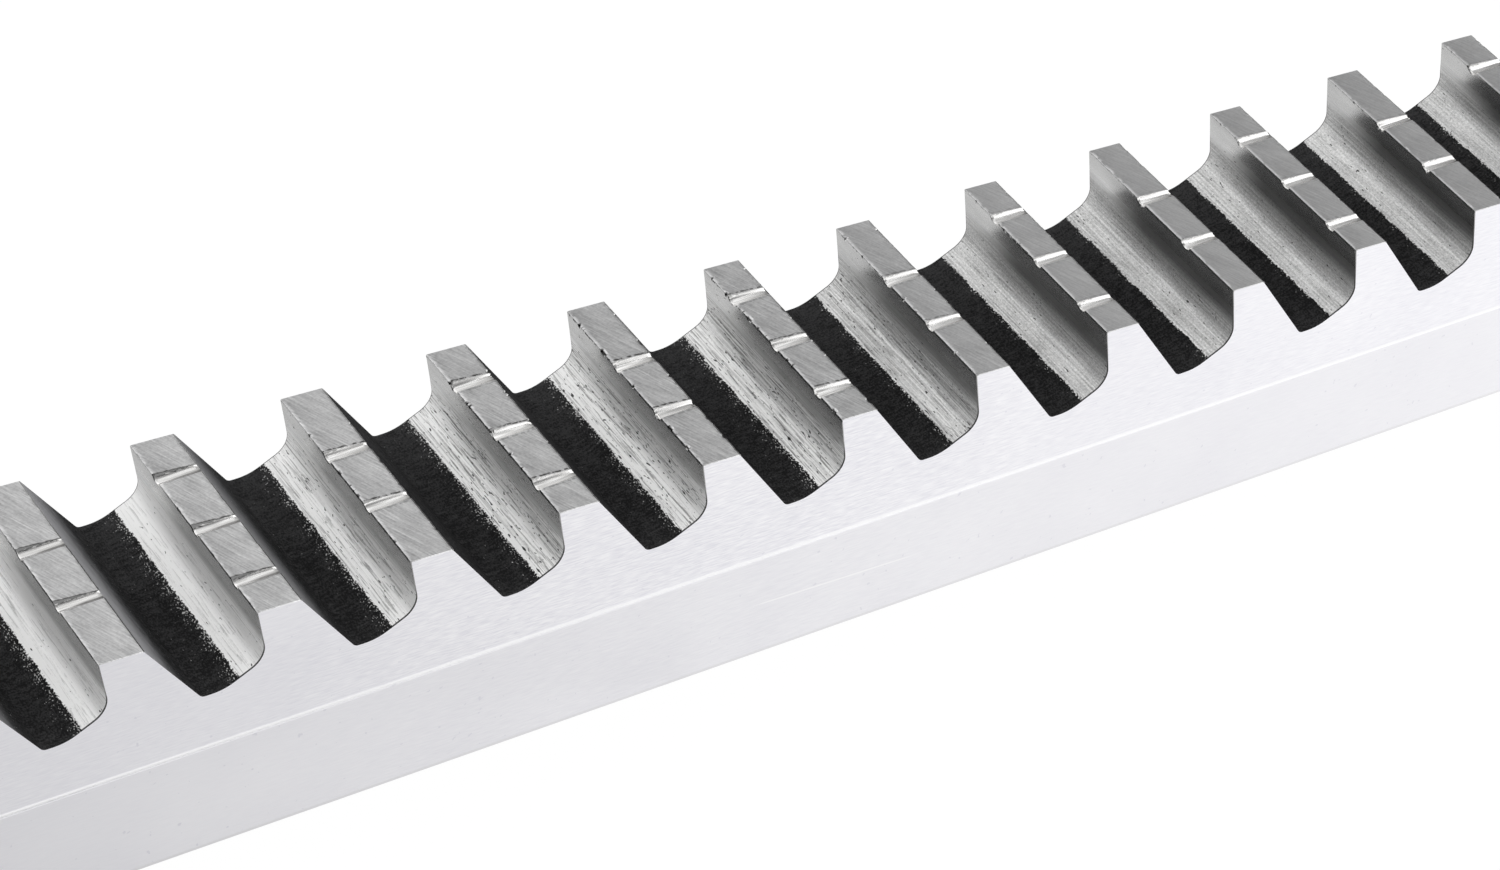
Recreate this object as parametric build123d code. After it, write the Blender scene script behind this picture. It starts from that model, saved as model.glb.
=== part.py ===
"""Push broach for cutting a keyway: one hardened bar with a ladder of rising teeth.

The bar lies on its flat back, with the origin under its middle. X runs along it from the pilot
end to the push end, so that it cuts while it is pushed towards -X. Z points up to the teeth,
and Y runs across the keyway.
"""

from math import pi, radians, sin, tan
import os

from build123d import *

os.makedirs("parts", exist_ok=True)

# Bar
key_width = 14.0
ledge_width = 0.145
ledge_height = 7.27
ledge_radius = 0.22
back_edge_break = 0.2
end_chamfer = 1.0

# Plain ends
pilot_length = 38.0
pilot_drop = 0.6
push_length = 24.96
push_drop = 0.6

# Teeth
tooth_count = 34
first_tooth_height = 15.2
rise_per_tooth = 0.022
pitch = 8.7
land = 2.34
land_relief = 2.3
hook_angle = 12.0

# Gullets, with distances counted back from the cutting edge that they feed
gullet_depth = 4.8
floor_front = 1.63
floor_back = 2.86
ramp_angle = 28.7
corner_radius = 0.42
floor_radius = 2.6
ground_radius = 1.26

# Slow wander of the gullet cutter along the bar
depth_wander = 0.24
land_wander = 0.17
wander_teeth = 14
wander_start = 1

# Chip-breaker notches, staggered from tooth to tooth, deepest at the cutting edge
notch_gap = 4.27
notch_shift = -0.25
notch_floor = 0.3
notch_depth = 0.3
notch_flank = 42.0
notch_fade = 4.4

guide_width = key_width + 2 * ledge_width
length = pilot_length + (tooth_count - 1) * pitch + land + push_length
top_height = first_tooth_height + (tooth_count - 1) * rise_per_tooth
full_row = int(key_width // notch_gap)


def edge(tooth):
    """Cutting edge of a tooth, along the bar and up, counted from the pilot end."""
    x = pilot_length - length / 2 + tooth * pitch
    return x, first_tooth_height + tooth * rise_per_tooth


def wander(tooth):
    """How far the gullet cutter has wandered at a tooth, from -1 to 1."""
    return sin(2 * pi * (tooth - wander_start) / wander_teeth)


def land_of(tooth):
    """Length of a tooth's land along the bar."""
    return land - land_wander * wander(tooth)


def heel(tooth):
    """Rear end of a tooth's land, dropped a little by the relief."""
    x, z = edge(tooth)
    return x + land_of(tooth), z - land_of(tooth) * tan(radians(land_relief))


def depth_of(tooth):
    """Depth of the gullet that feeds a tooth, below its cutting edge."""
    return gullet_depth + depth_wander * wander(tooth)


def back_slope(tooth, height):
    """Point at a height on the slope that falls from a tooth's heel to the next gullet's floor."""
    top_x, top_z = heel(tooth)
    next_x, next_z = edge(tooth + 1)
    floor_x = next_x - floor_back
    floor_z = next_z - depth_of(tooth + 1)
    return top_x + (floor_x - top_x) * (top_z - height) / (top_z - floor_z), height


def gullet(tooth, mouth):
    """Outline of the gullet that feeds a tooth: back slope, floor, ramp and hooked face."""
    x, z = edge(tooth)
    depth = depth_of(tooth)
    hook = tan(radians(hook_angle))
    ramp = tan(radians(ramp_angle))
    foot_drop = (depth - ramp * floor_front) / (1 + ramp * hook)
    return FilletPolyline(
        mouth,
        (x - floor_back, z - depth),
        (x - floor_front, z - depth),
        (x + hook * foot_drop, z - foot_drop),
        (x, z),
        radius=[corner_radius, floor_radius, ground_radius],
    )


def side_view():
    """Face of the bar seen from the side, with every tooth and gullet."""
    half = length / 2
    pilot_top = first_tooth_height - pilot_drop
    push_top = top_height - push_drop
    first_mouth = back_slope(-1, pilot_top)
    edges = []
    mouth = first_mouth
    for tooth in range(tooth_count):
        edges += gullet(tooth, mouth).edges()
        mouth = heel(tooth)
        edges += Line(edge(tooth), mouth).edges()
    ends_and_back = Polyline(
        mouth,
        back_slope(tooth_count - 1, push_top),
        (half - end_chamfer, push_top),
        (half, push_top - end_chamfer),
        (half, end_chamfer),
        (half - end_chamfer, 0),
        (end_chamfer - half, 0),
        (-half, end_chamfer),
        (-half, pilot_top - end_chamfer),
        (end_chamfer - half, pilot_top),
        first_mouth,
    )
    return make_face(edges + ends_and_back.edges())


def end_view():
    """Face of the bar's section: guide body, narrower key part and hollow-ground ledges."""
    body = Pos(0, ledge_height / 2) * Rectangle(guide_width, ledge_height)
    body = chamfer(body.vertices().group_by(Axis.Y)[0], back_edge_break)
    key = Pos(0, top_height / 2) * Rectangle(key_width, top_height)
    hollow_x = key_width / 2 + ledge_radius
    hollow_z = ledge_height + ledge_radius
    filling = Pos(0, hollow_z / 2) * Rectangle(2 * hollow_x, hollow_z)
    filling -= Pos(hollow_x, hollow_z) * Circle(ledge_radius)
    filling -= Pos(-hollow_x, hollow_z) * Circle(ledge_radius)
    filling &= Pos(0, hollow_z / 2) * Rectangle(guide_width, hollow_z - 2 * back_edge_break)
    return body + key + filling


def plan_view():
    """Face of the bar seen from above, with its chamfered ends."""
    outline = Rectangle(length, guide_width)
    return chamfer(outline.vertices(), end_chamfer)


def notch(tooth, y):
    """One groove along a tooth's land, which grows shallower and narrower towards the heel."""
    x, z = edge(tooth)
    clear = 2 * notch_depth
    low = notch_floor / 2
    high = low + (notch_depth + clear) * tan(radians(notch_flank))
    section = make_face(
        Polyline(
            (-low, -notch_depth),
            (low, -notch_depth),
            (high, clear),
            (-high, clear),
            close=True,
        )
    )
    groove = extrude(Plane.YZ.offset(-clear) * section, amount=land_of(tooth) + 2 * clear)
    return Pos(x, y, z) * Rot(0, land_relief - notch_fade, 0) * groove


def notches():
    """All grooves: a full row of them on every other tooth, and one fewer between."""
    grooves = []
    for tooth in range(tooth_count):
        count = full_row - tooth % 2
        for place in range(count):
            y = (place - (count - 1) / 2) * notch_gap + notch_shift
            grooves.append(notch(tooth, y))
    return grooves


def keyway_broach():
    """The bar where its side, end and plan views meet, with the notches cut across its lands."""
    side = extrude(Plane.XZ * side_view(), amount=guide_width, both=True)
    along = extrude(Plane.YZ * end_view(), amount=length, both=True)
    up = extrude(plan_view(), amount=top_height)
    return (side & along & up) - notches()


bar = keyway_broach()
print("teeth", tooth_count, "heights", first_tooth_height, "to", round(top_height, 3))
print("volume", round(bar.volume / 1000, 2), "cm3")
export_step(bar, "parts/keyway_broach.step")
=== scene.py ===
# %% [markdown]
# # A keyway broach, seen close up
#
# A keyway broach is one bar of hardened high-speed steel. A press pushes it through a bore, and
# each tooth of the ladder along its top shaves the keyway a little deeper than the tooth before.
# The bar's sizes were settled in CAD. This notebook loads that model as a fixed frame, and then
# makes the same bar again with the things that a solid modeller leaves out: nicked cutting
# edges, worn corners, wheel marks and the black scale of the hardening furnace.

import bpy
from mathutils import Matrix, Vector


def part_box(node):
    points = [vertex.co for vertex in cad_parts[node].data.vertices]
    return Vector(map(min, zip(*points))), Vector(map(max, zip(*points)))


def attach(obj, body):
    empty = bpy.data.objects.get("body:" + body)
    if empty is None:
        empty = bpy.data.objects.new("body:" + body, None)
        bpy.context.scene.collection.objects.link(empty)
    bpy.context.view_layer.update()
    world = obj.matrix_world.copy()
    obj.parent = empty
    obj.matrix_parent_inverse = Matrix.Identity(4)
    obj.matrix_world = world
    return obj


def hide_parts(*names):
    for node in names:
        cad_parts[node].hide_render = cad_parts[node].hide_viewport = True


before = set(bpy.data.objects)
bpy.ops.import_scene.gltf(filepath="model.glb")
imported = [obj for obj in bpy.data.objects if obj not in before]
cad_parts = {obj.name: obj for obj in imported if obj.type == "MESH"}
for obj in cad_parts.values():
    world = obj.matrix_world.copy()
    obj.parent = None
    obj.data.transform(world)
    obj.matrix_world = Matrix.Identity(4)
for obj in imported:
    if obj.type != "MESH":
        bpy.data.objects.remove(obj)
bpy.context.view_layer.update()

# %% [markdown]
# ## Writing node graphs as sums
#
# Both the bar's shape and its finishes are worked out by nodes. A graph of fifty Math nodes is
# hard to read, so one small class wraps a socket and gives it the usual operators. The
# expression `depth * 2 + 1` then adds two Math nodes and links them. Every other kind of node
# is added by one method, which takes its settings first and then what goes into its sockets.

# %% A socket that can be added, multiplied and compared
from collections import namedtuple
from math import cos, floor, pi, radians, sin, tan
from types import SimpleNamespace

import bmesh
import bpy
from mathutils import Matrix, Vector


class Signal:
    """An output socket. Arithmetic on it adds Math nodes to its graph."""

    def __init__(self, graph, socket):
        self.graph = graph
        self.socket = socket

    def __add__(self, other):
        return self.graph.math("ADD", self, other)

    def __sub__(self, other):
        return self.graph.math("SUBTRACT", self, other)

    def __mul__(self, other):
        return self.graph.math("MULTIPLY", self, other)

    def __truediv__(self, other):
        return self.graph.math("DIVIDE", self, other)

    def __mod__(self, other):
        return self.graph.math("FLOORED_MODULO", self, other)

    def __lt__(self, other):
        return self.graph.math("LESS_THAN", self, other)

    def __gt__(self, other):
        return self.graph.math("GREATER_THAN", self, other)

    def __abs__(self):
        return self.graph.math("ABSOLUTE", self)

    def __floor__(self):
        return self.graph.math("FLOOR", self)

    def __radd__(self, other):
        return self.graph.math("ADD", other, self)

    def __rsub__(self, other):
        return self.graph.math("SUBTRACT", other, self)

    def __rmul__(self, other):
        return self.graph.math("MULTIPLY", other, self)

    def __rtruediv__(self, other):
        return self.graph.math("DIVIDE", other, self)


# %% A graph that is filled in from Python
def socket_called(sockets, name):
    """A socket by its place in the list or by its name, leaving out the hidden ones."""
    if isinstance(name, int):
        return sockets[name]
    return next(socket for socket in sockets if socket.enabled and socket.name == name)


class Graph:
    """A node tree, with short ways to add nodes to it."""

    def __init__(self, tree):
        self.tree = tree

    def feed(self, socket, value):
        """Links a signal to a socket, or sets the socket's own value."""
        if isinstance(value, Signal):
            self.tree.links.new(value.socket, socket)
        else:
            socket.default_value = value

    def fill(self, node, values):
        """Feeds several sockets of one node."""
        for name, value in values.items():
            self.feed(socket_called(node.inputs, name), value)

    def node(self, kind, settings=None, inputs=None, output=0):
        """Adds one node: its settings first, then its sockets. Several outputs come as a list."""
        made = self.tree.nodes.new(kind)
        for name, value in (settings or {}).items():
            if name == "choices":
                for _ in range(value - len(made.index_switch_items)):
                    made.index_switch_items.new()
            else:
                setattr(made, name, value)
        self.fill(made, inputs or {})
        if isinstance(output, list):
            return [Signal(self, socket_called(made.outputs, name)) for name in output]
        return Signal(self, socket_called(made.outputs, output))

    def math(self, operation, *values):
        return self.node("ShaderNodeMath", {"operation": operation}, dict(enumerate(values)))

    def most(self, value, other):
        return self.math("MAXIMUM", value, other)

    def least(self, value, other):
        return self.math("MINIMUM", value, other)

    def clamped(self, value):
        """The value, kept between 0 and 1."""
        settings = {"operation": "ADD", "use_clamp": True}
        return self.node("ShaderNodeMath", settings, {0: value, 1: 0.0})

    def smooth(self, value, low, high):
        """A soft step: 0 below low, 1 above high."""
        settings = {"interpolation_type": "SMOOTHSTEP"}
        inputs = {"Value": value, "From Min": low, "From Max": high}
        return self.node("ShaderNodeMapRange", settings, inputs)

    def vector(self, x, y, z):
        return self.node("ShaderNodeCombineXYZ", {}, {"X": x, "Y": y, "Z": z})

    def parts(self, vector):
        return self.node("ShaderNodeSeparateXYZ", {}, {0: vector}, ["X", "Y", "Z"])

    def scaled(self, vector, factor):
        """The vector, made longer or shorter."""
        inputs = {0: vector, "Scale": factor}
        return self.node("ShaderNodeVectorMath", {"operation": "SCALE"}, inputs)


print("node kit ready")

# %% [markdown]
# ## The sizes of the teeth
#
# The frame gives the bar's length, width and height. The other sizes are those of the CAD model,
# so that the visible teeth lie on the solid ones. Every gullet has the same form, moved along by
# one pitch and up by the rise, while the cutter wandered slowly up and down, which widened and
# narrowed the lands along the bar.

# %% Sizes
mm = 0.001
_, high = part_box("keyway_broach")
half_length = high.x
body_half = high.y

teeth = {
    "Tooth count": 34,
    "Pitch": 8.7 * mm,
    "Rise": 0.022 * mm,
    "Land": 2.34 * mm,
    "Land relief": tan(radians(2.3)),
    "Hook": tan(radians(12)),
    "Gullet depth": 4.8 * mm,
    "Floor front": 1.63 * mm,
    "Floor back": 2.86 * mm,
    "Ramp": tan(radians(28.7)),
    "Corner radius": 0.42 * mm,
    "Floor radius": 2.6 * mm,
    "Ground radius": 1.26 * mm,
    "Depth wander": 0.24 * mm,
    "Land wander": 0.17 * mm,
    "Wander teeth": 14,
    "Wander start": 1,
    "Half length": half_length,
    "Key width": 14.0 * mm,
    "Notch gap": 4.27 * mm,
    "Notch shift": -0.25 * mm,
    "Notch radius": 0.42 * mm,
    "Notch depth": 0.30 * mm,
    "Notch fade": tan(radians(4.4)),
}
end_drop = 0.6 * mm
pilot_length = 38.0 * mm
teeth["First height"] = high.z - (teeth["Tooth count"] - 1) * teeth["Rise"]
teeth["First edge"] = pilot_length - half_length
teeth["Pilot top"] = teeth["First height"] - end_drop
teeth["Push top"] = high.z - end_drop
print("first cutting edge", teeth["First edge"], "at height", teeth["First height"])

# %% Wear, in the same units
wear = {
    "Edge radius": 0.05 * mm,
    "Heel radius": 0.13 * mm,
    "Corner bevel": 0.035 * mm,
    "Near": 0.23 * mm,
    "Fade": 0.9 * mm,
    "Chip size": 0.13 * mm,
    "Ragged size": 0.05 * mm,
    "Notch wobble": 0.07 * mm,
    "Seed": 3.0,
}
print("wear sizes", wear)

# %% [markdown]
# ## The toothed top as a rule
#
# The upper outline of the bar is one curve with eleven points to a tooth. A Geometry Nodes tree
# counts along the curve: the whole part of the count says which tooth a point belongs to, and
# the remainder says which of the eleven it is. Fillet Curve then rounds the points, each by its own
# radius. Change the pitch or the tooth count in the modifier and the whole ladder follows.

# %% Where the points of one tooth go
POINTS_PER_TOOTH = 11


class Tooth:
    """Places on one tooth, worked out by nodes from the tooth's number."""

    def __init__(self, graph, size, number):
        turn = (number - size["Wander start"]) * (2 * pi) / size["Wander teeth"]
        wander = graph.math("SINE", turn)
        self.land = size["Land"] - size["Land wander"] * wander
        self.edge_x = size["First edge"] + number * size["Pitch"]
        self.edge_z = size["First height"] + number * size["Rise"]
        self.heel_x = self.edge_x + self.land
        self.heel_z = self.edge_z - self.land * size["Land relief"]
        self.depth = size["Gullet depth"] + size["Depth wander"] * wander
        self.floor_z = self.edge_z - self.depth
        self.corner_x = self.edge_x - size["Floor back"]


def slope_behind(tooth, following):
    """How far the slope behind a tooth runs along the bar for each unit that it falls."""
    return (following.corner_x - tooth.heel_x) / (tooth.heel_z - following.floor_z)


# %% The eleven points, with what happens at each
EDGE_STEPS, CORNER_STEPS, FLOOR_STEPS, GROUND_STEPS = 2, 4, 5, 9
MOUTH_ROUNDING = 0.1 * mm
STILL = (0.0, 0.0)
DOWN = (0.0, -1.0)
EDGE_GIVE = (0.8, -0.6)
HEEL_GIVE = (-0.3, -0.3)
Point = namedtuple(
    "Point", "at rounding steps sink give land behind", defaults=(0.0, 1, STILL, STILL, 0, 0.0)
)


def tooth_points(graph, size, number):
    """Each point's place, rounding and steps, the way that a notch sinks it and wear moves it,
    whether a strip of land starts there, and how far behind the cutting edge it counts."""
    before = Tooth(graph, size, number - 1)
    this = Tooth(graph, size, number)
    after = Tooth(graph, size, number + 1)
    near, fade, hook, ramp = (size[name] for name in ("Near", "Fade", "Hook", "Ramp"))
    first = number < 0.5
    last = number > size["Tooth count"] - 0.5
    run_before = slope_behind(before, this)
    run_after = slope_behind(this, after)
    pilot_drop = before.heel_z - size["Pilot top"]
    push_drop = before.heel_z - size["Push top"]
    drop = graph.most(first * pilot_drop + last * push_drop, near)
    sunk = (1 - drop / fade) * (1 - first) * (1 - last)
    near_sunk = 1 - near / fade
    foot_drop = (this.depth - ramp * size["Floor front"]) / (ramp * hook + 1)

    def down_back(fall):
        return before.heel_x + run_before * fall, before.heel_z - fall

    def down_face(fall):
        return this.edge_x + hook * fall, this.edge_z - fall

    mouth_rounding = (first + last) * MOUTH_ROUNDING
    mouth_sink = (run_before * sunk, 0 - sunk)
    face_sink = (hook * near_sunk, 0 - near_sunk)
    floor_end = (this.edge_x - size["Floor front"], this.floor_z)
    edge = (this.edge_x, this.edge_z)
    behind_edge = (this.edge_x + near, this.edge_z - near * size["Land relief"])
    before_heel = (this.heel_x - near, this.heel_z + near * size["Land relief"])
    heel = (this.heel_x, this.heel_z)
    return [
        Point(down_back(drop), mouth_rounding, sink=mouth_sink, behind=before.land),
        Point(down_back(fade)),
        Point((this.corner_x, this.floor_z), size["Corner radius"], CORNER_STEPS),
        Point(floor_end, size["Floor radius"], FLOOR_STEPS),
        Point(down_face(foot_drop), size["Ground radius"], GROUND_STEPS),
        Point(down_face(fade)),
        Point(down_face(near), sink=face_sink),
        Point(edge, size["Edge radius"], EDGE_STEPS, (hook, -1.0), EDGE_GIVE, land=1),
        Point(behind_edge, sink=DOWN, land=1, behind=near),
        Point(before_heel, sink=DOWN, land=1, behind=this.land - near),
        Point(heel, size["Heel radius"], EDGE_STEPS, (run_after, -1.0), HEEL_GIVE, 0, this.land),
    ]


# %% The outline curve
def chosen(graph, place, kind, values):
    """The value that belongs to a point's place within its tooth."""
    settings = {"data_type": kind, "choices": len(values)}
    inputs = {"Index": place} | {str(number): value for number, value in enumerate(values)}
    return graph.node("GeometryNodeIndexSwitch", settings, inputs)


def remember(graph, geometry, name, kind, value):
    """Stores a value on every point, under a name that a later step can read."""
    settings = {"data_type": kind, "domain": "POINT"}
    inputs = {"Geometry": geometry, "Name": name, "Value": value}
    return graph.node("GeometryNodeStoreNamedAttribute", settings, inputs)


def recall(graph, name, kind="FLOAT"):
    return graph.node("GeometryNodeInputNamedAttribute", {"data_type": kind}, {"Name": name})


def moved(graph, geometry, x, y, z):
    """The geometry, with every point put at a new place."""
    inputs = {"Geometry": geometry, "Position": graph.vector(x, y, z)}
    return graph.node("GeometryNodeSetPosition", {}, inputs)


def outline_curve(graph, size):
    """The bar's upper outline seen from the side, from the pilot end to the push end."""
    count = size["Tooth count"] * POINTS_PER_TOOTH + 3
    line = graph.node("GeometryNodeCurvePrimitiveLine", {}, {"End": (1, 0, 0)})
    inputs = {"Curve": line, "Count": count}
    line = graph.node("GeometryNodeResampleCurve", {"mode": "COUNT"}, inputs)
    index = graph.node("GeometryNodeInputIndex")
    number = floor((index - 1) / POINTS_PER_TOOTH)
    place = (index - 1) - number * POINTS_PER_TOOTH
    points = tooth_points(graph, size, number)

    start = index < 0.5
    end = index > count - 1.5
    inner = 1 - start - end

    def numbers(kind, values):
        return chosen(graph, place, kind, list(values))

    def vectors(pairs):
        return numbers("VECTOR", (graph.vector(along, 0.0, up) for along, up in pairs))

    x, _, z = graph.parts(vectors(point.at for point in points))
    x = x * inner + (end - start) * size["Half length"]
    z = z * inner + start * size["Pilot top"] + end * size["Push top"]
    stored = {
        "sink": ("FLOAT_VECTOR", graph.scaled(vectors(point.sink for point in points), inner)),
        "give": ("FLOAT_VECTOR", graph.scaled(vectors(point.give for point in points), inner)),
        "land": ("FLOAT", numbers("FLOAT", (float(point.land) for point in points)) * inner),
        "behind": ("FLOAT", numbers("FLOAT", (point.behind for point in points)) * inner),
        "tooth": ("FLOAT", number - (place < 0.5)),
    }
    for name, (kind, value) in stored.items():
        line = remember(graph, line, name, kind, value)
    line = moved(graph, line, x, 0.0, z)
    steps = numbers("INT", (point.steps for point in points))
    rounding = numbers("FLOAT", (point.rounding for point in points)) * inner
    inputs = {"Curve": line, "Count": steps, "Radius": rounding}
    return graph.node("GeometryNodeFilletCurve", {"mode": "POLY"}, inputs)


# %% [markdown]
# ## Spreading the outline across the bar
#
# A grid is laid out with a row for each point of the outline and a column for each place across
# the bar. Every grid point takes its place along and up from the outline, so no sweep can twist.
# The columns stand close together where a chip-breaker notch can be. A notch is a groove ground
# along the land with a tilted wheel, so it is deepest and widest at the cutting edge. Here it
# pushes points of the land down into a round-bottomed trough, and the columns draw together as
# the trough narrows. Below the land the push dies away, so the groove ends in the tooth's face.

# %% Columns and notches
SITES = 7
OUTERMOST_SITE = 2
COLUMNS_PER_SITE = 30
DEPTH_SPREAD = 0.16


def noise(graph, place, scale=1.0, detail=2.0, roughness=0.5):
    inputs = {"Vector": place, "Scale": scale, "Detail": detail, "Roughness": roughness}
    return graph.node("ShaderNodeTexNoise", {}, inputs)


def chance(graph, number, site, seed):
    """A fixed random number from 0 to 1 for one notch of one tooth."""
    inputs = {"Vector": graph.vector(number, site, seed)}
    return graph.node("ShaderNodeTexWhiteNoise", {"noise_dimensions": "3D"}, inputs)


def notch_stands(number, site):
    """1 where a tooth has a notch: at every other site, shifted by one from tooth to tooth."""
    return ((site + number) % 2 < 0.5) * (abs(site) < OUTERMOST_SITE + 0.5)


def half_width(graph, radius, depth):
    """How far a round-bottomed groove of that depth reaches to each side."""
    return graph.math("SQRT", depth * (2 * radius - depth))


def across(graph, size, column, number, behind):
    """A column's place across the bar, how deep a notch is there, and if it is an outer column."""
    half_gap = size["Notch gap"] / 2
    radius = size["Notch radius"]
    site = floor((column - 1) / COLUMNS_PER_SITE)
    within = (column - 1) - site * COLUMNS_PER_SITE
    turn = (within + 0.5) * (2 / COLUMNS_PER_SITE) - 1
    offset = (turn * 0.5 + turn * turn * turn * 0.5) * half_gap / 2
    site = site - (SITES - 1) / 2

    here = notch_stands(number, site)
    luck = chance(graph, site, number, size["Seed"])
    at_edge = size["Notch depth"] * (1 - DEPTH_SPREAD / 2 + luck * DEPTH_SPREAD)
    depth = at_edge - behind * size["Notch fade"]
    narrowed = 1 - half_width(graph, radius, depth) / half_width(graph, radius, at_edge)
    beside = 1 - graph.smooth(abs(offset), half_gap / 4, half_gap / 2)
    offset = offset * (1 - narrowed * beside * here)
    inside = graph.most(radius * radius - offset * offset, 0.0)
    fall = graph.most(depth - radius + graph.math("SQRT", inside), 0.0) * here

    wobble = (chance(graph, number, site, size["Seed"]) - 0.5) * size["Notch wobble"] * beside
    limit = size["Key width"] / 2 - size["Corner bevel"]
    y = size["Notch shift"] + site * half_gap + offset + wobble
    y = graph.most(graph.least(y, limit), 0 - limit)
    near_side = column < 0.5
    far_side = column > SITES * COLUMNS_PER_SITE + 0.5
    y = y + (far_side - near_side) * size["Corner bevel"]
    return y, fall, near_side + far_side


# %% Worn edges
CORNER_GUARD = (0.15, 0.6)
USED_FROM_TOOTH = (11.5, 14)
USED_TO_TOOTH = (15, 19)
UNUSED_WEAR, MOST_WEAR_GAIN, FRESH_WEAR_LOSS = 0.3, 0.7, 0.6


def chip_pattern(graph, y, number, seed):
    """A noise along each cutting edge, in millimetres. Where it is high, a chip has broken out."""
    return noise(graph, graph.vector(y * 2.4, number * 3.7, seed + 5))


def edge_wear(graph, size, number, y):
    """How far a sharp edge has given way: finely ragged all along, and now and then a chip. The
    corners of the teeth stay whole."""
    fine = noise(graph, graph.vector(y / mm * 3.6, number * 7.3, size["Seed"]), detail=3)
    ragged = graph.smooth(fine, 0.38, 0.66) * size["Ragged size"]
    chips = graph.smooth(chip_pattern(graph, y / mm, number, size["Seed"]), 0.58, 0.63)
    worn = ragged + chips * size["Chip size"]
    to_corner = size["Key width"] / 2 - abs(y)
    inward = graph.smooth(to_corner, CORNER_GUARD[0] * mm, CORNER_GUARD[1] * mm)
    gain = graph.smooth(number, *USED_FROM_TOOTH) * MOST_WEAR_GAIN
    loss = graph.smooth(number, *USED_TO_TOOTH) * FRESH_WEAR_LOSS
    return worn * inward * (gain - loss + UNUSED_WEAR)


# %% The strip of grid that carries all teeth
LEAST_NOTCH = 0.01 * mm


def toothed_strip(graph, outline, size):
    """The bar's top, with rows along the outline and columns across it, and what is on a land, in
    a notch and on a plain end."""
    settings = {"component": "CURVE"}
    inputs = {"Geometry": outline}
    rows = graph.node("GeometryNodeAttributeDomainSize", settings, inputs, "Point Count")
    columns = SITES * COLUMNS_PER_SITE + 2
    grid = graph.node("GeometryNodeMeshGrid", {}, {"Vertices X": rows, "Vertices Y": columns})
    index = graph.node("GeometryNodeInputIndex")
    row = floor(index / columns)
    column = index - row * columns

    def from_outline(value, kind="FLOAT", at=row):
        settings = {"data_type": kind, "domain": "POINT"}
        inputs = {"Geometry": outline, "Value": value, "Index": at}
        return graph.node("GeometryNodeSampleIndex", settings, inputs)

    def way_from_outline(value):
        along, _, up = graph.parts(from_outline(value, "FLOAT_VECTOR"))
        return along, up

    x, z = way_from_outline(graph.node("GeometryNodeInputPosition"))
    ahead, up = way_from_outline(graph.node("GeometryNodeInputTangent"))
    sink_x, sink_z = way_from_outline(recall(graph, "sink", "FLOAT_VECTOR"))
    give_x, give_z = way_from_outline(recall(graph, "give", "FLOAT_VECTOR"))
    number = from_outline(recall(graph, "tooth"))
    behind = from_outline(recall(graph, "behind"))

    y, fall, side = across(graph, size, column, number, behind)
    wear_here = edge_wear(graph, size, number, y)
    bevel = side * size["Corner bevel"]
    x = x + sink_x * fall + give_x * wear_here + up * bevel
    z = z + sink_z * fall + give_z * wear_here - ahead * bevel
    grid = remember(graph, grid, "row", "FLOAT", row)
    grid = remember(graph, grid, "fall", "FLOAT", fall)
    grid = moved(graph, grid, x, y, z)

    face_row = floor(recall(graph, "row"))
    on_land = from_outline(recall(graph, "land"), at=face_row) > 0.5
    in_notch = on_land * (recall(graph, "fall") > LEAST_NOTCH)
    plain_end = (face_row < 0.5) + (face_row > rows - 2.5)
    return grid, on_land, in_notch, plain_end


# %% [markdown]
# ## Four finishes for one bar
#
# All of the bar is the same steel, but four operations left four surfaces. The sides were ground
# flat. The lands were ground last, at a slight slope. In the gullets only the tooth's face and
# the arc below it were ground, and the rest still wears black scale. The notches were cut by a
# narrow wheel. Each finish reads its pattern from Object coordinates, taken to millimetres.
#
# The teeth in the middle of the bar have cut most and are nicked. Those before them were rubbed
# smooth by chips, and those towards the push end are hardly worn.

# %% Where a place is on the bar
pitch = teeth["Pitch"] / mm
first_edge = teeth["First edge"] / mm
key_half_width = teeth["Key width"] / 2 / mm
FRESH_FROM = (-2, 22)
POLISHED_TO = (-36, -18)


def millimetres(graph):
    """The place on the bar, in millimetres along, across and up."""
    return graph.scaled(graph.node("ShaderNodeTexCoord", {}, {}, "Object"), 1 / mm)


def along_teeth(x, overhang=0.0):
    """The number of the last cutting edge before a place, and how far behind that edge it is."""
    reach = x - first_edge - overhang
    return floor(reach / pitch), reach % pitch


def freshness(graph, x):
    """0 on the teeth that have cut most, and 1 on the fresh ones towards the push end."""
    return graph.smooth(x, *FRESH_FROM)


def polish(graph, x):
    """0 on the teeth that have cut most, and 1 on those before them, which chips rubbed smooth."""
    return 1 - graph.smooth(x, *POLISHED_TO)


print("cutting edges every", pitch, "mm from", first_edge, "mm")

# %% Parts that the finishes share
WHITE = (1, 1, 1)


def new_finish(name):
    """A material, its graph, its Principled shader, and the place that its patterns read."""
    material = bpy.data.materials.new(name)
    material.use_nodes = True
    graph = Graph(material.node_tree)
    return material, graph, material.node_tree.nodes["Principled BSDF"], millimetres(graph)


def streaks(graph, place, scale, detail=2.0, roughness=0.5, turn=(0, 0, 0)):
    """A noise that is turned and drawn out into lines, by how often it repeats each way."""
    inputs = {"Vector": place, "Rotation": turn}
    turned = graph.node("ShaderNodeVectorRotate", {"rotation_type": "EULER_XYZ"}, inputs)
    drawn = graph.node("ShaderNodeVectorMath", {"operation": "MULTIPLY"}, {0: turned, 1: scale})
    return noise(graph, drawn, detail=detail, roughness=roughness)


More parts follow.
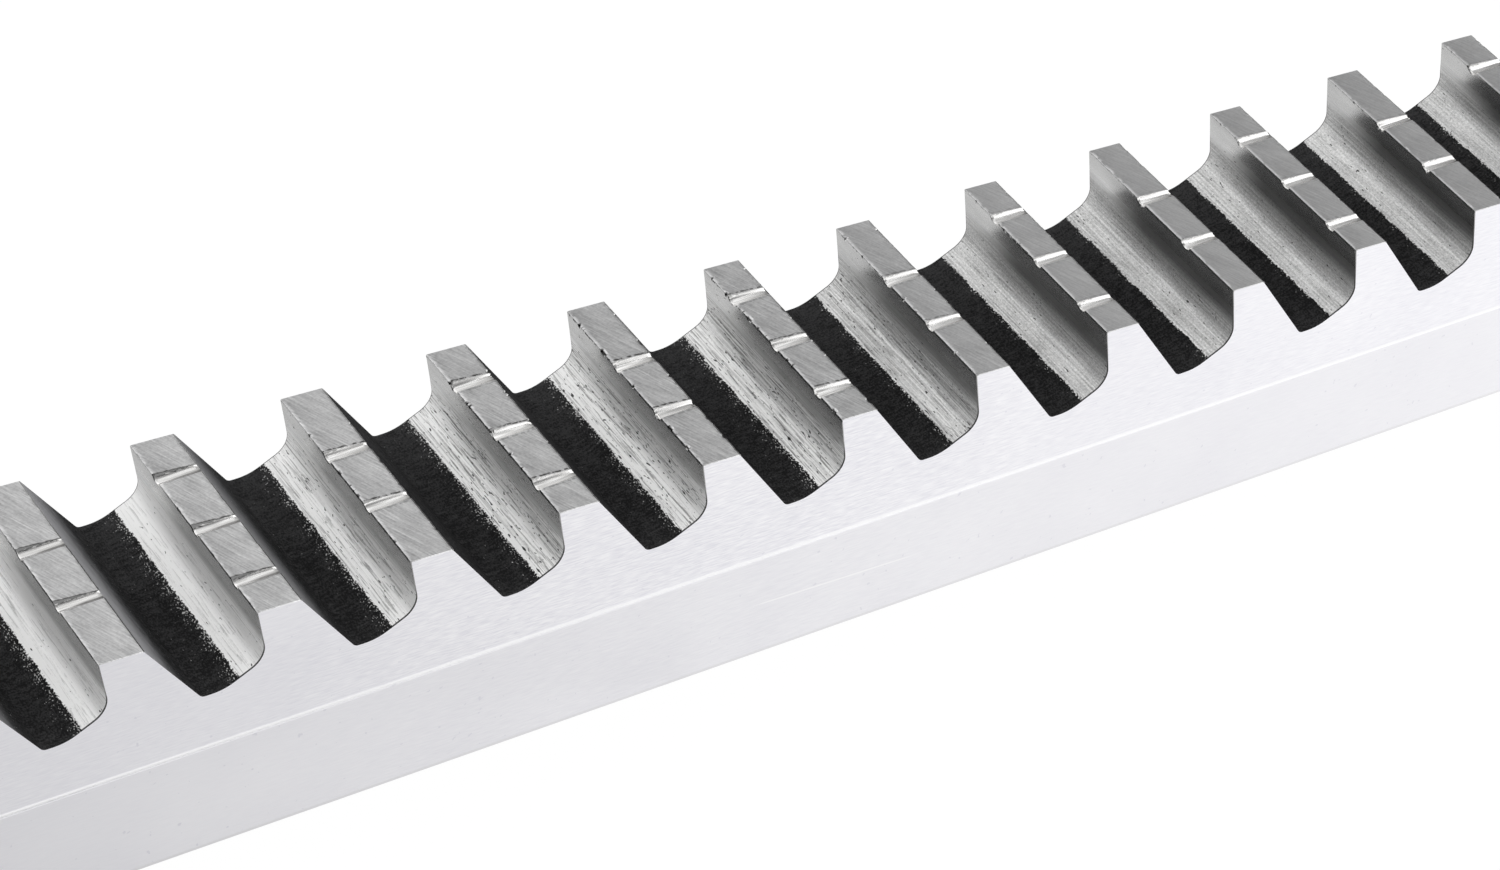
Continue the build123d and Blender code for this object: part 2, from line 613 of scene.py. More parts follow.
def tinted(graph, first, second, share, blend="MIX"):
    """A colour between two, by a share from 0 to 1. Each is a signal or a plain colour."""
    ends = [colour if isinstance(colour, Signal) else (*colour, 1) for colour in (first, second)]
    settings = {"data_type": "RGBA", "blend_type": blend}
    inputs = {"Factor": share, "A": ends[0], "B": ends[1]}
    return graph.node("ShaderNodeMix", settings, inputs, "Result")


def raised(graph, height, distance):
    """A bump, from a height between 0 and 1 and the metres that 1 stands for."""
    inputs = {"Height": height, "Distance": distance, "Strength": 1.0}
    return graph.node("ShaderNodeBump", {}, inputs, "Normal")


print("finish helpers ready")

# %% [markdown]
# ### The ground sides
#
# A surface grinder leaves short, shallow marks. Here they lie almost along the bar's own line,
# and they are stronger on the key part than on the guide body below the ledge, which has slid
# through bushings and been smoothed. A noise that is squeezed across the marks and drawn out along
# them gives such lines. A hair scratch on the guide body is placed at two given points. The guide
# body is painted a little darker than the key part, and its lowest edge darker still: painted
# shade for the floor's contact shadow that the steel mirrors. The ledge's rim is painted nearer
# white, a painted highlight.

# %% Side finish
MARK_ANGLE = radians(-1)
HAIR_START = (-3.5, 3.93)
HAIR_END = (8.0, 3.57)
HAIR_FADES = (2, 3)
HAIR_WIDTH = (0.015, 0.07)
KEY_PART = (7.1, 7.6)
RIM_HIGHLIGHT_STARTS, RIM_HIGHLIGHT_ENDS = (7.26, 7.29), (7.38, 7.42)
LOWER_EDGE = (0.32, 0.44)
MARK_TONES = (0.80, 0.795, 0.845), (0.985, 0.98, 1.0)
BODY_SHADE_TONE = (0.97, 0.97, 0.965)
LOWER_EDGE_SHADE_TONE = (0.80, 0.795, 0.81)


def hair_scratch(graph, x, y, z):
    """A thin line between two places on the near side, fading at both ends."""
    (x0, z0), (x1, z1) = HAIR_START, HAIR_END
    off = abs(z - (x - x0) * ((z1 - z0) / (x1 - x0)) - z0)
    begins = graph.smooth(x, x0, x0 + HAIR_FADES[0])
    ends = 1 - graph.smooth(x, x1 - HAIR_FADES[1], x1)
    return (1 - graph.smooth(off, *HAIR_WIDTH)) * (begins * ends) * (y < 0)


def side_finish():
    material, graph, shader, place = new_finish("ground_side")
    x, y, z = graph.parts(place)
    key_part = graph.smooth(z, *KEY_PART)
    marks = streaks(graph, place, (1, 1, 11), 2, 0.6, turn=(0, MARK_ANGLE, 0))
    cloud = noise(graph, place, scale=0.13)
    specks = graph.smooth(noise(graph, place, scale=2.6, detail=1), 0.75, 0.78)
    worn = (1 - freshness(graph, x) * 0.5) * (1 - polish(graph, x) * 0.6)
    shade = (marks - 0.5) * ((key_part * 1.9 + 0.9) * worn) + (cloud - 0.5) * 0.5 + 0.5
    shade = shade - specks * 0.9 + hair_scratch(graph, x, y, z) * 1.2
    steel = tinted(graph, *MARK_TONES, graph.clamped(shade))
    # Painted shade: the guide body below the key part is a little darker, for the floor's contact
    # shadow that it mirrors.
    painted_body_shade = tinted(graph, BODY_SHADE_TONE, WHITE, key_part)
    colour = tinted(graph, steel, painted_body_shade, 1.0, "MULTIPLY")
    # Painted highlight: the ledge's rim is painted nearer white, over what its rounding reflects.
    rim = graph.smooth(z, *RIM_HIGHLIGHT_STARTS) * (1 - graph.smooth(z, *RIM_HIGHLIGHT_ENDS)) * 0.7
    colour = tinted(graph, colour, WHITE, rim)
    # Painted shade: the lowest edge is darker, for the contact shadow that its edge break mirrors.
    colour = tinted(graph, colour, LOWER_EDGE_SHADE_TONE, 1 - graph.smooth(z, *LOWER_EDGE))
    bump = raised(graph, marks * (key_part * 0.7 + 0.3), 0.004 * mm)
    graph.fill(shader, {"Base Color": colour, "Roughness": 0.26 + marks * 0.12, "Normal": bump})
    graph.fill(shader, {"Metallic": 1.0})
    return material


# %% [markdown]
# ### The relief-ground lands
#
# The lands were sharpened one by one with the face of a cup wheel, which swept across the tooth,
# so their faint scratches run slantwise from the edge to the heel. The wheel that cut the notches
# raised a torn burr beside them, and its shadow is painted as a broken dark line, stronger on the
# far side. Where a chip has broken out of a cutting edge, the steel is painted dark as well, a
# painted shade.

# %% What lies beside a place on a land
BURR_SHADOW_WIDTH = 0.4
CHIPS_TO_TOOTH = (15.5, 17.5)


def notch_beside(graph, x, y):
    """Whether the nearest notch stands, how far away its middle is, half its width, and how far
    the place is behind the cutting edge."""
    number, behind = along_teeth(x)
    half_gap = teeth["Notch gap"] / 2 / mm
    shift = teeth["Notch shift"] / mm
    site = graph.math("ROUND", (y - shift) / half_gap)
    wobble = (chance(graph, number, site, wear["Seed"]) - 0.5) * (wear["Notch wobble"] / mm)
    offset = y - shift - site * half_gap - wobble
    depth = teeth["Notch depth"] / mm - behind * teeth["Notch fade"]
    lip = half_width(graph, teeth["Notch radius"] / mm, depth)
    return notch_stands(number, site), offset, lip, behind


def chipped(graph, y, number):
    """1 where a chip has broken out of a tooth's cutting edge."""
    chips = graph.smooth(chip_pattern(graph, y, number, wear["Seed"]), 0.57, 0.62)
    inward = graph.smooth(key_half_width - abs(y), *CORNER_GUARD)
    used = graph.smooth(number, *USED_FROM_TOOTH) * (1 - graph.smooth(number, *CHIPS_TO_TOOTH))
    return chips * inward * used


def torn_steel(graph, x, y):
    """A painted shadow: the broken dark line along both sides of a notch, where its burr stands,
    stronger on the far one.
    """
    stands, offset, lip, _ = notch_beside(graph, x, y)
    across_bar = graph.math("ROUND", y * 2)
    early = polish(graph, x)
    bend = noise(graph, graph.vector(x * 2, across_bar, 0.0)) * (1 - early)
    breaks = noise(graph, graph.vector(x * 2.4, across_bar, 9.0), detail=3)
    away = abs(offset) - lip - bend * 0.2
    width = graph.most(breaks * BURR_SHADOW_WIDTH - 0.12, 0.02)
    line = 1 - graph.smooth(abs(away), 0.0, width)
    broken = graph.most(graph.smooth(breaks, 0.44, 0.52), early)
    broken = broken * (1 - freshness(graph, x) * 0.8)
    return line * stands * broken * (0.4 + (offset > 0) * 0.6)


# %% Land finish
SCRATCH_ANGLE = radians(63.5)
CHIP_REACH = (0.12, 0.18)
LAND_TONES = (0.50, 0.50, 0.503), (0.98, 0.98, 0.98)
LAND_SHADE_TONE = (0.06, 0.058, 0.055)


def land_finish():
    material, graph, shader, place = new_finish("ground_land")
    x, y, _ = graph.parts(place)
    number, behind = along_teeth(x)
    slant = (0, 0, SCRATCH_ANGLE)
    scratches = streaks(graph, place, (0.25, 3.6, 1), 2, 0.6, turn=slant)
    lines = graph.smooth(scratches, 0.58, 0.68)
    fine = streaks(graph, place, (0.9, 11, 1), 1, turn=slant)
    grain = noise(graph, place, scale=7)
    cloud = noise(graph, place, scale=0.7)
    shade = lines * 0.2 + (fine - 0.5) * 1.1 + (grain - 0.5) * 0.7 + (cloud - 0.5) * 0.6
    shade = graph.clamped(shade * (1 - freshness(graph, x) * 0.5) + behind * 0.12 + 0.30)
    steel = tinted(graph, *LAND_TONES, shade)
    # Painted shade: the steel just behind a chipped cutting edge, and the burr line beside each
    # notch, are darkened.
    chip_shade = chipped(graph, y, number) * (1 - graph.smooth(behind, *CHIP_REACH))
    dark = graph.most(torn_steel(graph, x, y), chip_shade)
    colour = tinted(graph, steel, LAND_SHADE_TONE, dark)
    bump = raised(graph, lines + fine, 0.003 * mm)
    graph.fill(shader, {"Base Color": colour, "Roughness": 0.3 + grain * 0.1, "Normal": bump})
    graph.fill(shader, {"Metallic": 1.0})
    return material


# %% [markdown]
# ### Gullets: scale, and the ground arc
#
# Hardening leaves black scale all over a broach. Grinding the teeth's faces takes it away as far
# down as the wheel reaches, so each gullet is half black and half bright, and the border lies
# just before the next cutting edge. The wheel skips low spots, which stay as black pits drawn
# out along its marks, and where it only brushed the scale, bright flecks stand in the black.

# %% A place in its gullet, and the patterns there
OVERHANG = 0.7
ARC_BEGINS = (1.2, 2.6)


def gullet_place(graph, place):
    """Where a place is in its gullet, how worn it is, and the noises that break up its look."""
    x, y, z = graph.parts(place)
    before, past = along_teeth(x, OVERHANG)
    number = before + 1
    below_edge = number * (teeth["Rise"] / mm) + teeth["First height"] / mm - z
    return SimpleNamespace(
        x=x,
        y=y,
        number=number,
        ahead=pitch - OVERHANG - past,
        below_edge=below_edge,
        in_arc=graph.smooth(below_edge, *ARC_BEGINS),
        fresh=freshness(graph, x),
        early=polish(graph, x),
        marks=streaks(graph, place, (10, 0.16, 10), 2, 0.6),
        hairs=streaks(graph, place, (11, 0.6, 11), 1),
        cloud=streaks(graph, place, (0.8, 0.3, 0.8)),
        pits=streaks(graph, place, (12, 3, 12), 0),
        ripples=streaks(graph, place, (1.6, 7, 1.6), 1),
        grain=streaks(graph, place, (12, 8, 12)),
        coarse=streaks(graph, place, (1.6, 0.9, 1.6)) - 0.5,
    )


# %% Where the steel is bare, and its colour
SCALE_BORDER = 0.78
BORDER_SOFTNESS = 0.03
HEEL_LINE = (0.165, 0.185)
RIM = (6.91, 6.94)
STEEL_TONES = (0.30, 0.30, 0.297), (0.96, 0.96, 0.955)
FACE_SHADE_TONE = (0.03, 0.03, 0.03)
RIM_TONE = (0.08, 0.08, 0.08)
EDGE_SHADOW_TONE = (0.05, 0.05, 0.05)


def gullet_areas(graph, at):
    """How much a place is ground steel, rather than scale or a pit, and how much a fleck."""
    inside = at.ahead - SCALE_BORDER - at.coarse * 0.2 - (at.grain - 0.5) * 0.3
    heel_line = 1 - graph.smooth(at.below_edge, *HEEL_LINE)
    scaled = graph.smooth(inside, -BORDER_SOFTNESS, BORDER_SOFTNESS) * (1 - heel_line)
    more_pits = (graph.smooth(at.below_edge, 1.8, 3.0) * 0.06 - 0.06) + at.coarse * 0.30
    pits = at.pits + more_pits - at.fresh * 0.06 - at.early * 0.09
    pitted = graph.smooth(pits, 0.73, 0.76) * (1 - scaled)
    fewer_flecks = graph.least(0.56 + inside * (0.33 - at.early * 0.1), 0.75)
    fewer_flecks = fewer_flecks + at.fresh * 0.08 - at.coarse * 0.2
    flecks = graph.smooth(at.grain - fewer_flecks, 0.0, 0.04) * scaled
    return (1 - scaled) * (1 - pitted * 0.95), flecks


def gullet_steel(graph, at):
    """The colour of the ground steel: streaked in the arc, with painted light that makes the arcs
    lighter towards the pilot end, a painted shade on the near part of the tooth's face for the
    black scale that it mirrors, dark at the bar's sides, and a painted shadow line just below the
    cutting edge."""
    dark_hairs = graph.smooth(at.hairs, 0.58, 0.62) * (0.6 - at.fresh * 0.5 - at.early * 0.3)
    mottled = (at.cloud - 0.5) * 0.5 + (at.grain - 0.5) * at.in_arc * (0.5 + at.fresh * 0.6)
    shade = (at.marks - 0.5) * (0.3 + at.in_arc * 2.3)
    shade = shade * (1 - at.fresh * 0.55 - at.early * 0.45) + mottled
    # Painted light: the arcs are painted lighter on the teeth towards the pilot end than on those
    # towards the push end.
    painted_arc_light = at.in_arc * (0.36 - graph.smooth(at.x, -10, 15) * 0.38)
    shade = shade - dark_hairs * at.in_arc + at.early * 0.1 + 0.60 + painted_arc_light
    steel = tinted(graph, *STEEL_TONES, graph.clamped(shade))

    # Painted shade: the near part of each tooth's face is darkened, for the black scale that it
    # mirrors.
    on_face = 1 - graph.smooth(at.below_edge - at.fresh * 0.7, *ARC_BEGINS)
    lower_face_shade = graph.smooth(at.below_edge, 0.2, 1.4) * 0.42 - 0.1
    face_shade_strength = 0.4 + at.early * 0.25 + at.fresh * lower_face_shade
    painted_face_shade = on_face * (1 - graph.smooth(at.y, 1.5, 5)) * face_shade_strength
    steel = tinted(graph, steel, FACE_SHADE_TONE, painted_face_shade)
    rim = graph.smooth(abs(at.y), *RIM) * at.in_arc
    steel = tinted(graph, steel, RIM_TONE, rim)

    # Painted shadow: a broken dark line just below each cutting edge, the shade under its burr,
    # deeper where a chip broke out.
    ragged = noise(graph, graph.vector(at.y * 3.4, at.number * 7.3, 2.0), detail=3)
    edge_shadow_depth = graph.smooth(ragged, 0.51, 0.60) * (1 - at.fresh * 0.7) * 0.12
    edge_shadow_depth = edge_shadow_depth + chipped(graph, at.y, at.number) * 0.14 + 0.05
    edge_shadow_line = (1 - graph.smooth(at.below_edge / edge_shadow_depth, 0.9, 1.1)) * (1 - at.early)
    return tinted(graph, steel, EDGE_SHADOW_TONE, edge_shadow_line * (at.ahead < 1))


# %% Gullet finish
SCALE_TONES = (0.018, 0.018, 0.0185), (0.056, 0.056, 0.057)
RUBBED_SHEEN_TONE = (0.30, 0.30, 0.31)
RUBBED_SHEEN_TO = (-36, -24)
FLECK_TONE = (0.45, 0.449, 0.446)


def gullet_scale(graph, at, flecks):
    """The colour of the scale: grainy, with bright flecks, and grey near the worn heels, where
    chips rubbed it and a painted sheen stands in for the light it catches.
    """
    grainy = graph.smooth(at.coarse * 0.3 + at.grain, 0.40, 0.60) * 0.6
    grainy = grainy + graph.smooth(at.y, -2, 7) * 0.4 + (at.ripples - 0.5) * 1.5
    scale = tinted(graph, *SCALE_TONES, grainy)
    # Partly wear, partly painted sheen: the scale just behind the heels of the early teeth is
    # painted grey.
    near_heel = 1 - graph.smooth(at.below_edge + at.coarse * 1.2, 0.1, 3.4)
    rubbed_sheen = near_heel * (1 - graph.smooth(at.x, *RUBBED_SHEEN_TO))
    scale = tinted(graph, scale, RUBBED_SHEEN_TONE, rubbed_sheen)
    return tinted(graph, scale, FLECK_TONE, flecks)


def gullet_finish():
    material, graph, shader, place = new_finish("gullet")
    at = gullet_place(graph, place)
    ground, flecks = gullet_areas(graph, at)
    steel = gullet_steel(graph, at)
    scale = gullet_scale(graph, at, flecks)
    metal = ground * (0.92 - at.in_arc * 0.42 + at.in_arc * at.fresh * 0.2) + flecks * 0.5
    relief = (at.marks + at.hairs * 0.3) * ground * (0.2 + at.in_arc * 0.8)
    relief = relief + at.grain * (1 - ground) * 1.6
    inputs = {
        "Base Color": tinted(graph, scale, steel, ground),
        "Metallic": graph.clamped(metal),
        "Roughness": 0.36 + ground * (at.in_arc * 0.28 - 0.10),
        "Normal": raised(graph, relief, 0.008 * mm),
        "Specular IOR Level": 0.0,
    }
    graph.fill(shader, inputs)
    return material


# %% [markdown]
# ### The notches
#
# A narrow wheel cut the chip-breaker notches in one pass each, and nothing has touched them
# since. They are the brightest ground surfaces on the bar, slightly matt, with faint lines that
# run along each groove. The steep top of each far wall is torn, and is also painted grey as
# painted shade, and on the early teeth the near wall is painted darker towards the heel, also
# painted shade.

# %% Notch finish
NOTCH_TONES = (0.78, 0.77, 0.755), (1.0, 0.995, 0.985)
NEAR_WALL_SHADE_TONE = (0.30, 0.295, 0.29)
FAR_WALL_SHADE_TONES = (0.45, 0.448, 0.44), (0.22, 0.22, 0.22)


def notch_finish():
    material, graph, shader, place = new_finish("notch")
    x, y, _ = graph.parts(place)
    _, offset, _, behind = notch_beside(graph, x, y)
    early = polish(graph, x)
    lines = streaks(graph, place, (0.9, 12, 9))
    tears = streaks(graph, place, (5, 14, 14))
    shade = (lines - 0.5) * 3 + 0.8 - behind * 0.2
    clean = tinted(graph, *NOTCH_TONES, graph.clamped(shade))
    steepness = offset / (teeth["Notch radius"] / mm)
    # Partly torn steel, partly painted shade: the steep top of each far wall is painted grey with
    # darker pits.
    far_wall_shade_and_tears = graph.smooth(steepness + (tears - 0.5) * 0.4 + early * 0.15, 0.80, 0.90)
    # Painted shade: on the early teeth the near wall is painted darker towards the heel.
    near_wall_shade = graph.smooth(0 - steepness, -0.1, 0.2) * graph.smooth(behind, 0.5, 1.6) * early
    clean = tinted(graph, clean, NEAR_WALL_SHADE_TONE, near_wall_shade)
    shaded_wall_colour = tinted(graph, *FAR_WALL_SHADE_TONES, early)
    colour = tinted(graph, clean, shaded_wall_colour, far_wall_shade_and_tears)
    graph.fill(shader, {"Base Color": colour, "Roughness": 0.2, "Metallic": 1.0})
    return material


finishes = {
    "gullet": gullet_finish(),
    "land": land_finish(),
    "notch": notch_finish(),
    "side": side_finish(),
}
print("finishes", list(finishes))


# %% [markdown]
# ## Building the tree and freezing its mesh
#
# The tree gets one named input for each size. Its modifier is set by the inputs' identifiers
# before Blender first works the object out. The result is then taken as a plain mesh, because
# what follows, closing the bar's sides and ends, is easier to say face by face.

# %% The tree
def toothed_top_tree(size_values, finishes):
    """The tree that makes the toothed strip, and its inputs' identifiers by name."""
    tree = bpy.data.node_groups.new("toothed top", "GeometryNodeTree")
    identifiers = {}
    tree.interface.new_socket("Geometry", in_out="INPUT", socket_type="NodeSocketGeometry")
    for name in size_values:
        socket = tree.interface.new_socket(name, in_out="INPUT", socket_type="NodeSocketFloat")
        identifiers[name] = socket.identifier
    tree.interface.new_socket("Geometry", in_out="OUTPUT", socket_type="NodeSocketGeometry")
    graph = Graph(tree)
    entry = tree.nodes.new("NodeGroupInput")
    size = {name: Signal(graph, entry.outputs[name]) for name in size_values}
    outline = outline_curve(graph, size)
    strip, on_land, in_notch, plain_end = toothed_strip(graph, outline, size)
    strip = graph.node("GeometryNodeRealizeInstances", {}, {"Geometry": strip})
    covered = ((True, "gullet"), (on_land, "land"), (in_notch, "notch"), (plain_end, "side"))
    for selection, name in covered:
        inputs = {"Geometry": strip, "Selection": selection, "Material": finishes[name]}
        strip = graph.node("GeometryNodeSetMaterial", {}, inputs)
    graph.fill(tree.nodes.new("NodeGroupOutput"), {"Geometry": strip})
    return tree, identifiers


def placed(name, data):
    """A new object in the scene, at the origin."""
    thing = bpy.data.objects.new(name, data)
    bpy.context.scene.collection.objects.link(thing)
    return thing


def freeze(thing):
    """Swaps an object's modifiers for the plain mesh that they make."""
    evaluated = thing.evaluated_get(bpy.context.evaluated_depsgraph_get())
    mesh = bpy.data.meshes.new_from_object(evaluated)
    thing.modifiers.clear()
    thing.data = mesh


# %% The frozen strip
size_values = {**teeth, **wear}
tree, identifiers = toothed_top_tree(size_values, finishes)
bar = placed("broach_bar", bpy.data.meshes.new("broach_bar"))
modifier = bar.modifiers.new("toothed top", "NODES")
modifier.node_group = tree
for name, value in size_values.items():
    modifier[identifiers[name]] = float(value)
bar.update_tag()
freeze(bar)
print("strip:", len(bar.data.vertices), "points, made by", len(tree.nodes), "nodes")

# %% [markdown]
# ## Closing the bar
#
# The strip becomes a solid bar when the sides, the ledges, the guide body, the back and the ends
# are added. The key part is 14 mm wide. Below it a hollow-ground ledge steps out by 0.145 mm a
# side to the guide body, which fills the slot of its bushing. The ledge's rim is slightly
# rounded, and that rim is the bright line along the bar's side.

# %% The section below the teeth
ledge_height = 7.27 * mm
ledge_radius = 0.22 * mm
rim_radius = 0.12 * mm
rim_drop = 0.02 * mm
back_break = 0.2 * mm
end_chamfer = 1.0 * mm
key_half = teeth["Key width"] / 2
ARC_STEPS = 4
HOLLOW_TURN = 50
RIM_TURN = 60


def lower_section():
    """Points down the near side of the bar's section, from the key part's face to its back."""
    hollow_y = key_half + ledge_radius
    hollow_z = ledge_height + ledge_radius
    points = []
    for step in range(ARC_STEPS + 1):
        angle = radians(HOLLOW_TURN) * step / ARC_STEPS
        points.append((hollow_y - ledge_radius * cos(angle), hollow_z - ledge_radius * sin(angle)))
    rim_z = points[-1][1] - rim_drop
    for step in range(ARC_STEPS + 1):
        angle = radians(RIM_TURN - RIM_TURN * step / ARC_STEPS)
        out = rim_radius * (1 - cos(angle))
        points.append((body_half - out, rim_z - rim_radius * (1 - sin(angle))))
    return points + [(body_half, back_break), (body_half - back_break, 0.0)]


print("section points", len(lower_section()))

# %% Sides, body and ends
LEVEL = 1e-9


def tooth_sides(bm, add_face, outline, start, end):
    """One flat face beside each tooth, down to the ledge, and the strip on top of the ledge."""
    z = [point.co.z for point in outline]
    feet = [start[0]]
    before = 0
    for place in range(1, len(outline) - 1):
        if z[place] < z[place - 1] - LEVEL and z[place] <= z[place + 1]:
            foot = bm.verts.new((outline[place].co.x, start[0].co.y, start[0].co.z))
            add_face(feet[-1], *outline[before : place + 1], foot)
            feet.append(foot)
            before = place
    add_face(feet[-1], *outline[before:], end[0])
    add_face(start[1], *feet, end[0], end[1])


def close_bar(bm, side_index):
    """Adds the faces that turn the toothed strip into a closed bar."""
    row_layer = bm.verts.layers.float["row"]
    tiny = 0.001 * mm
    points = sorted(bm.verts, key=lambda v: v[row_layer])
    near = [v for v in points if v.co.y < tiny - key_half]
    far = [v for v in points if v.co.y > key_half - tiny]
    section = lower_section()

    def add_face(*corners):
        bm.faces.new(corners).material_index = side_index

    ends = []
    for row, x in ((0, -half_length), (points[-1][row_layer], half_length)):
        top = sorted((v for v in points if v[row_layer] == row), key=lambda v: v.co.y)
        near_side = [bm.verts.new((x, -y, z)) for y, z in section]
        far_side = [bm.verts.new((x, y, z)) for y, z in section]
        ends.append((near_side, far_side, top))
    (near_a, far_a, _), (near_b, far_b, _) = ends
    for a, b in ((near_a, near_b), (far_a, far_b)):
        for step in range(1, len(section) - 1):
            add_face(a[step], a[step + 1], b[step + 1], b[step])
    add_face(near_a[-1], far_a[-1], far_b[-1], near_b[-1])
    tooth_sides(bm, add_face, near, near_a, near_b)
    tooth_sides(bm, add_face, far, far_a, far_b)
    for near_side, far_side, top in ends:
        add_face(*near_side[::-1], *top, *far_side)


def chamfer_ends(bm, side_index):
    """Cuts the eight 45 degree chamfers round the bar's two ends."""
    for end in (-1, 1):
        top = teeth["Pilot top"] if end < 0 else teeth["Push top"]
        beside = body_half - end_chamfer
        for y, z, way in (
            (0, top - end_chamfer, (end, 0, 1)),
            (0, end_chamfer, (end, 0, -1)),
            (beside, 0, (end, 1, 0)),
            (-beside, 0, (end, -1, 0)),
        ):
            parts = [*bm.verts, *bm.edges, *bm.faces]
            plane = {"plane_co": (end * half_length, y, z), "plane_no": way}
            bmesh.ops.bisect_plane(bm, geom=parts, clear_outer=True, **plane)
            rim = [edge for edge in bm.edges if edge.is_boundary]
            for face in bmesh.ops.edgeloop_fill(bm, edges=rim)["faces"]:
                face.material_index = side_index


# %% Freeze the closed bar
merge_distance = 0.0005 * mm
flat_angle = radians(0.25)
sharp_angle = radians(28)
cubic_centimetre = (10 * mm) ** 3


def finish_bar(mesh):
    """Merges and thins the strip's points, closes the bar and sets its shading."""
    side_index = mesh.materials.find(finishes["side"].name)
    bm = bmesh.new()
    bm.from_mesh(mesh)
    bmesh.ops.remove_doubles(bm, verts=bm.verts, dist=merge_distance)
    bmesh.ops.dissolve_limit(
        bm, angle_limit=flat_angle, verts=bm.verts, edges=bm.edges, delimit={"MATERIAL"}
    )
    close_bar(bm, side_index)
    chamfer_ends(bm, side_index)
    bmesh.ops.recalc_face_normals(bm, faces=bm.faces)
    open_edges = sum(not edge.is_manifold for edge in bm.edges)
    volume = bm.calc_volume() / cubic_centimetre
    bm.to_mesh(mesh)
    bm.free()
    mesh.shade_smooth()
    mesh.set_sharp_from_angle(angle=sharp_angle)
    for name in ("row", "fall"):
        mesh.attributes.remove(mesh.attributes[name])
    triangles = sum(len(face.vertices) - 2 for face in mesh.polygons)
    print("bar:", triangles, "triangles,", open_edges, "open edges,", round(volume, 2), "cm3")


finish_bar(bar.data)

# %% Let the large faces decide the shading
weighting = bar.modifiers.new("weighted normals", "WEIGHTED_NORMAL")
weighting.keep_sharp = True
freeze(bar)
print("shading set on", len(bar.data.vertices), "points")
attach(bar, "root")
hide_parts("keyway_broach")

# %% [markdown]
# ## Floor, light and camera
#
# Ground steel is a mirror that has been dulled, so its tone is the tone of what it faces. The
# sides face the floor, and they are nearly white because the floor is white. The lands face the
# room behind the bar, which is darker away from the lamp, so they turn greyer along the bar. A
# round softbox brightens the arcs of the gullets, and a patch overhead the walls of the notches.
# The camera itself sees plain white everywhere, as on an evenly lit sheet of paper. Mirrors see
# the floor darker behind the bar, a painted shadow, and darker towards the pilot end, a painted
# falloff of light.

# %% Floor
floor_half = 3.0
floor_drop = 0.02 * mm
FLOOR_WHITE = 0.96
DARKEST_MIRRORED = 0.35


def floor_finish():
    """A floor that glows white to the camera, and in mirrors shows a painted shadow behind the bar
    and a painted falloff of light towards the pilot end.
    """
    material, graph, shader, place = new_finish("white_floor")
    graph.fill(shader, {"Roughness": 0.9, "Emission Strength": 1.0})
    rays = ["Is Camera Ray", "Is Glossy Ray", "Is Transmission Ray"]
    camera_ray, glossy_ray, clear_ray = graph.node("ShaderNodeLightPath", {}, {}, rays)
    x, y, _ = graph.parts(place)
    # Seen only in mirrors: a painted shadow behind the bar, and a painted falloff of light towards
    # the pilot end.
    far_painted_shadow = graph.smooth(y, 20, 45) * graph.smooth(x, -60, -20)
    painted_shadow_behind = graph.smooth(y, 2, 8) * 0.4 + far_painted_shadow * 0.6
    along = graph.least(0.88 + x * 0.0053, 0.855 + x * 0.002)
    along = graph.most(graph.least(along, FLOOR_WHITE), DARKEST_MIRRORED)
    mirrored = along * (1 - painted_shadow_behind * 0.8)
    seen = graph.clamped(camera_ray + clear_ray) * FLOOR_WHITE
    glow = graph.most(seen, glossy_ray * mirrored)
    base = 0.9 * (1 - seen) * (1 - glossy_ray * 0.88)
    graph.fill(shader, {"Emission Color": glow, "Base Color": base})
    return material


floor_mesh = bpy.data.meshes.new("floor")
corners = [
    (x * floor_half, y * floor_half, -floor_drop) for x, y in ((-1, -1), (1, -1), (1, 1), (-1, 1))
]
floor_mesh.from_pydata(corners, [], [(0, 1, 2, 3)])
floor_plane = placed("floor", floor_mesh)
floor_mesh.materials.append(floor_finish())

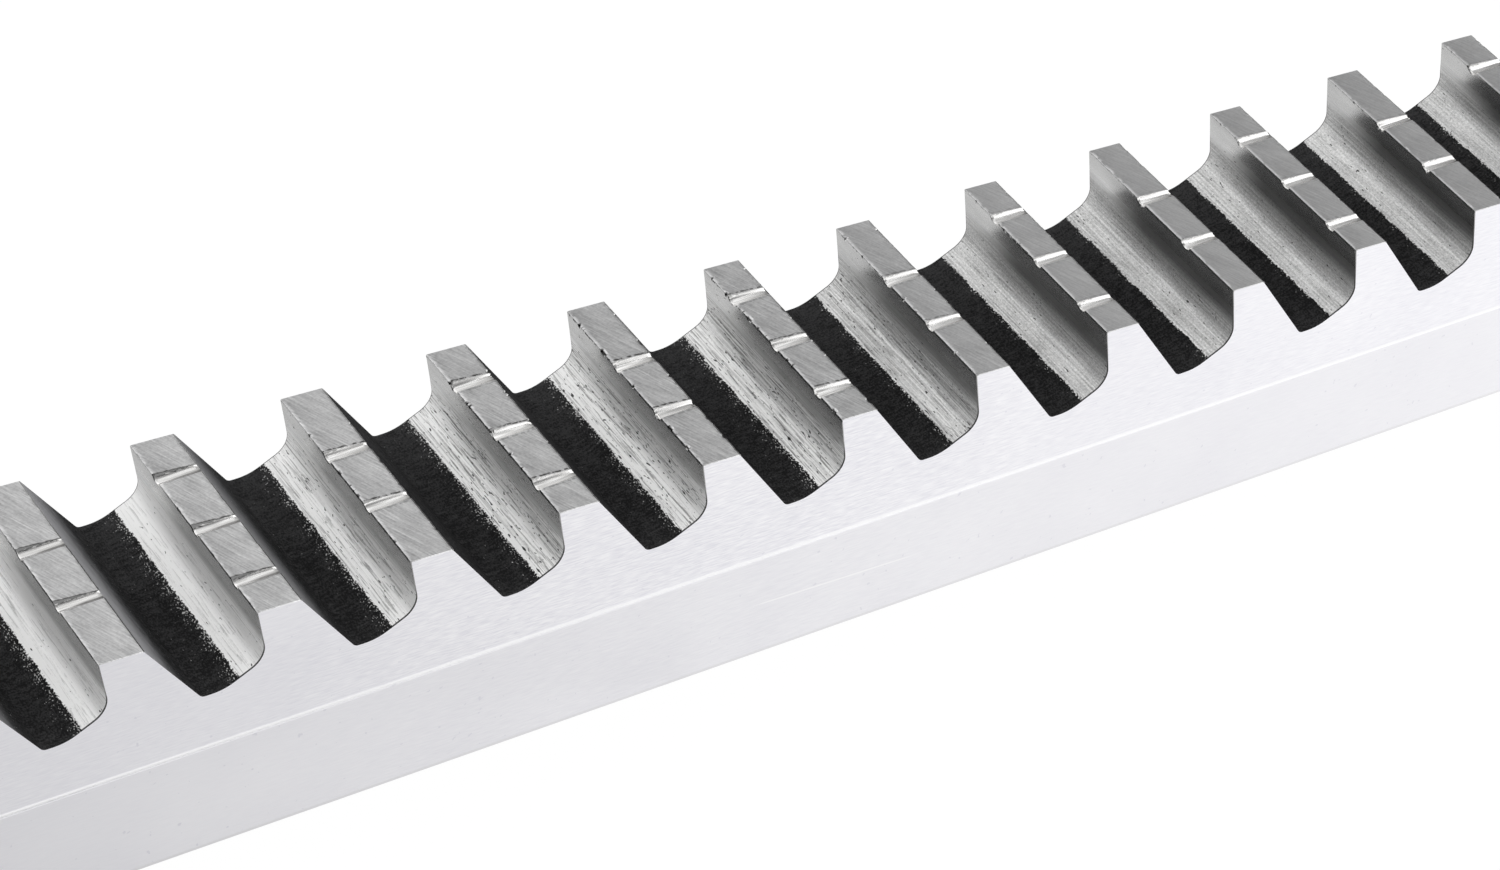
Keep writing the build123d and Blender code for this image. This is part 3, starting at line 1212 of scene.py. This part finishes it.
# %% Room light
lamp_way = Vector((-0.62, 0.55, 0.56)).normalized()
softbox_way = Vector((0.90, -0.29, 0.325)).normalized()
softbox_edge = (cos(radians(44)), cos(radians(40)))
SOFTBOX_LEVEL = 1.6
DARKEST_ROOM, BRIGHTEST_ROOM = 0.22, 1.15


def room_light():
    """A room that is lit from one side, with a softbox, a patch overhead and paper in front."""
    world = bpy.data.worlds.new("room")
    bpy.context.scene.world = world
    world.use_nodes = True
    graph = Graph(world.node_tree)
    way = graph.node("ShaderNodeTexCoord", {}, {}, "Generated")
    to_lamp, to_softbox = [
        graph.node("ShaderNodeVectorMath", {"operation": "DOT_PRODUCT"}, {0: way, 1: aim}, "Value")
        for aim in (lamp_way, softbox_way)
    ]
    along, back, up = graph.parts(way)
    upper = graph.least(graph.most(to_lamp * 1.38 - 0.05, DARKEST_ROOM), BRIGHTEST_ROOM)
    softbox = graph.smooth(to_softbox, *softbox_edge)
    upper = upper * (1 - softbox) + softbox * SOFTBOX_LEVEL
    overhead = graph.smooth(up, 0.86, 0.91) * (1 - graph.smooth(along, 0.36, 0.42))
    overhead = overhead * graph.smooth(along, 0.15, 0.25)
    upper = graph.most(upper, overhead)
    front = graph.smooth(0 - back, 0.1, 0.5)
    paper = (1 - graph.smooth(up - front * 0.35, 0.10, 0.32)) * (1 - graph.smooth(back, 0.0, 0.3))
    level = upper * (1 - paper) + paper
    seen = graph.node("ShaderNodeLightPath", {}, {}, "Is Camera Ray")
    background = {"Color": (1, 1, 1, 1), "Strength": level * (1 - seen) + seen}
    graph.fill(world.node_tree.nodes["Background"], background)


room_light()

# %% Camera
camera_place = Vector((-121.161, -157.863, 176.179)) * mm
camera_aim = Vector((-4.105, -5.914, 15.5)) * mm
camera_roll = radians(-8.281)

camera_data = bpy.data.cameras.new("camera")
camera_data.sensor_width = 36
camera_data.lens = 114.319
camera_data.clip_start = 0.01
camera = placed("camera", camera_data)
look = (camera_aim - camera_place).to_track_quat("-Z", "Y").to_matrix().to_4x4()
roll = Matrix.Rotation(-camera_roll, 4, "Z")
camera.matrix_world = Matrix.Translation(camera_place) @ look @ roll
bpy.context.scene.camera = camera
print("camera distance", round((camera_aim - camera_place).length / mm, 1), "mm")

bpy.context.scene.view_settings.view_transform = "Standard"
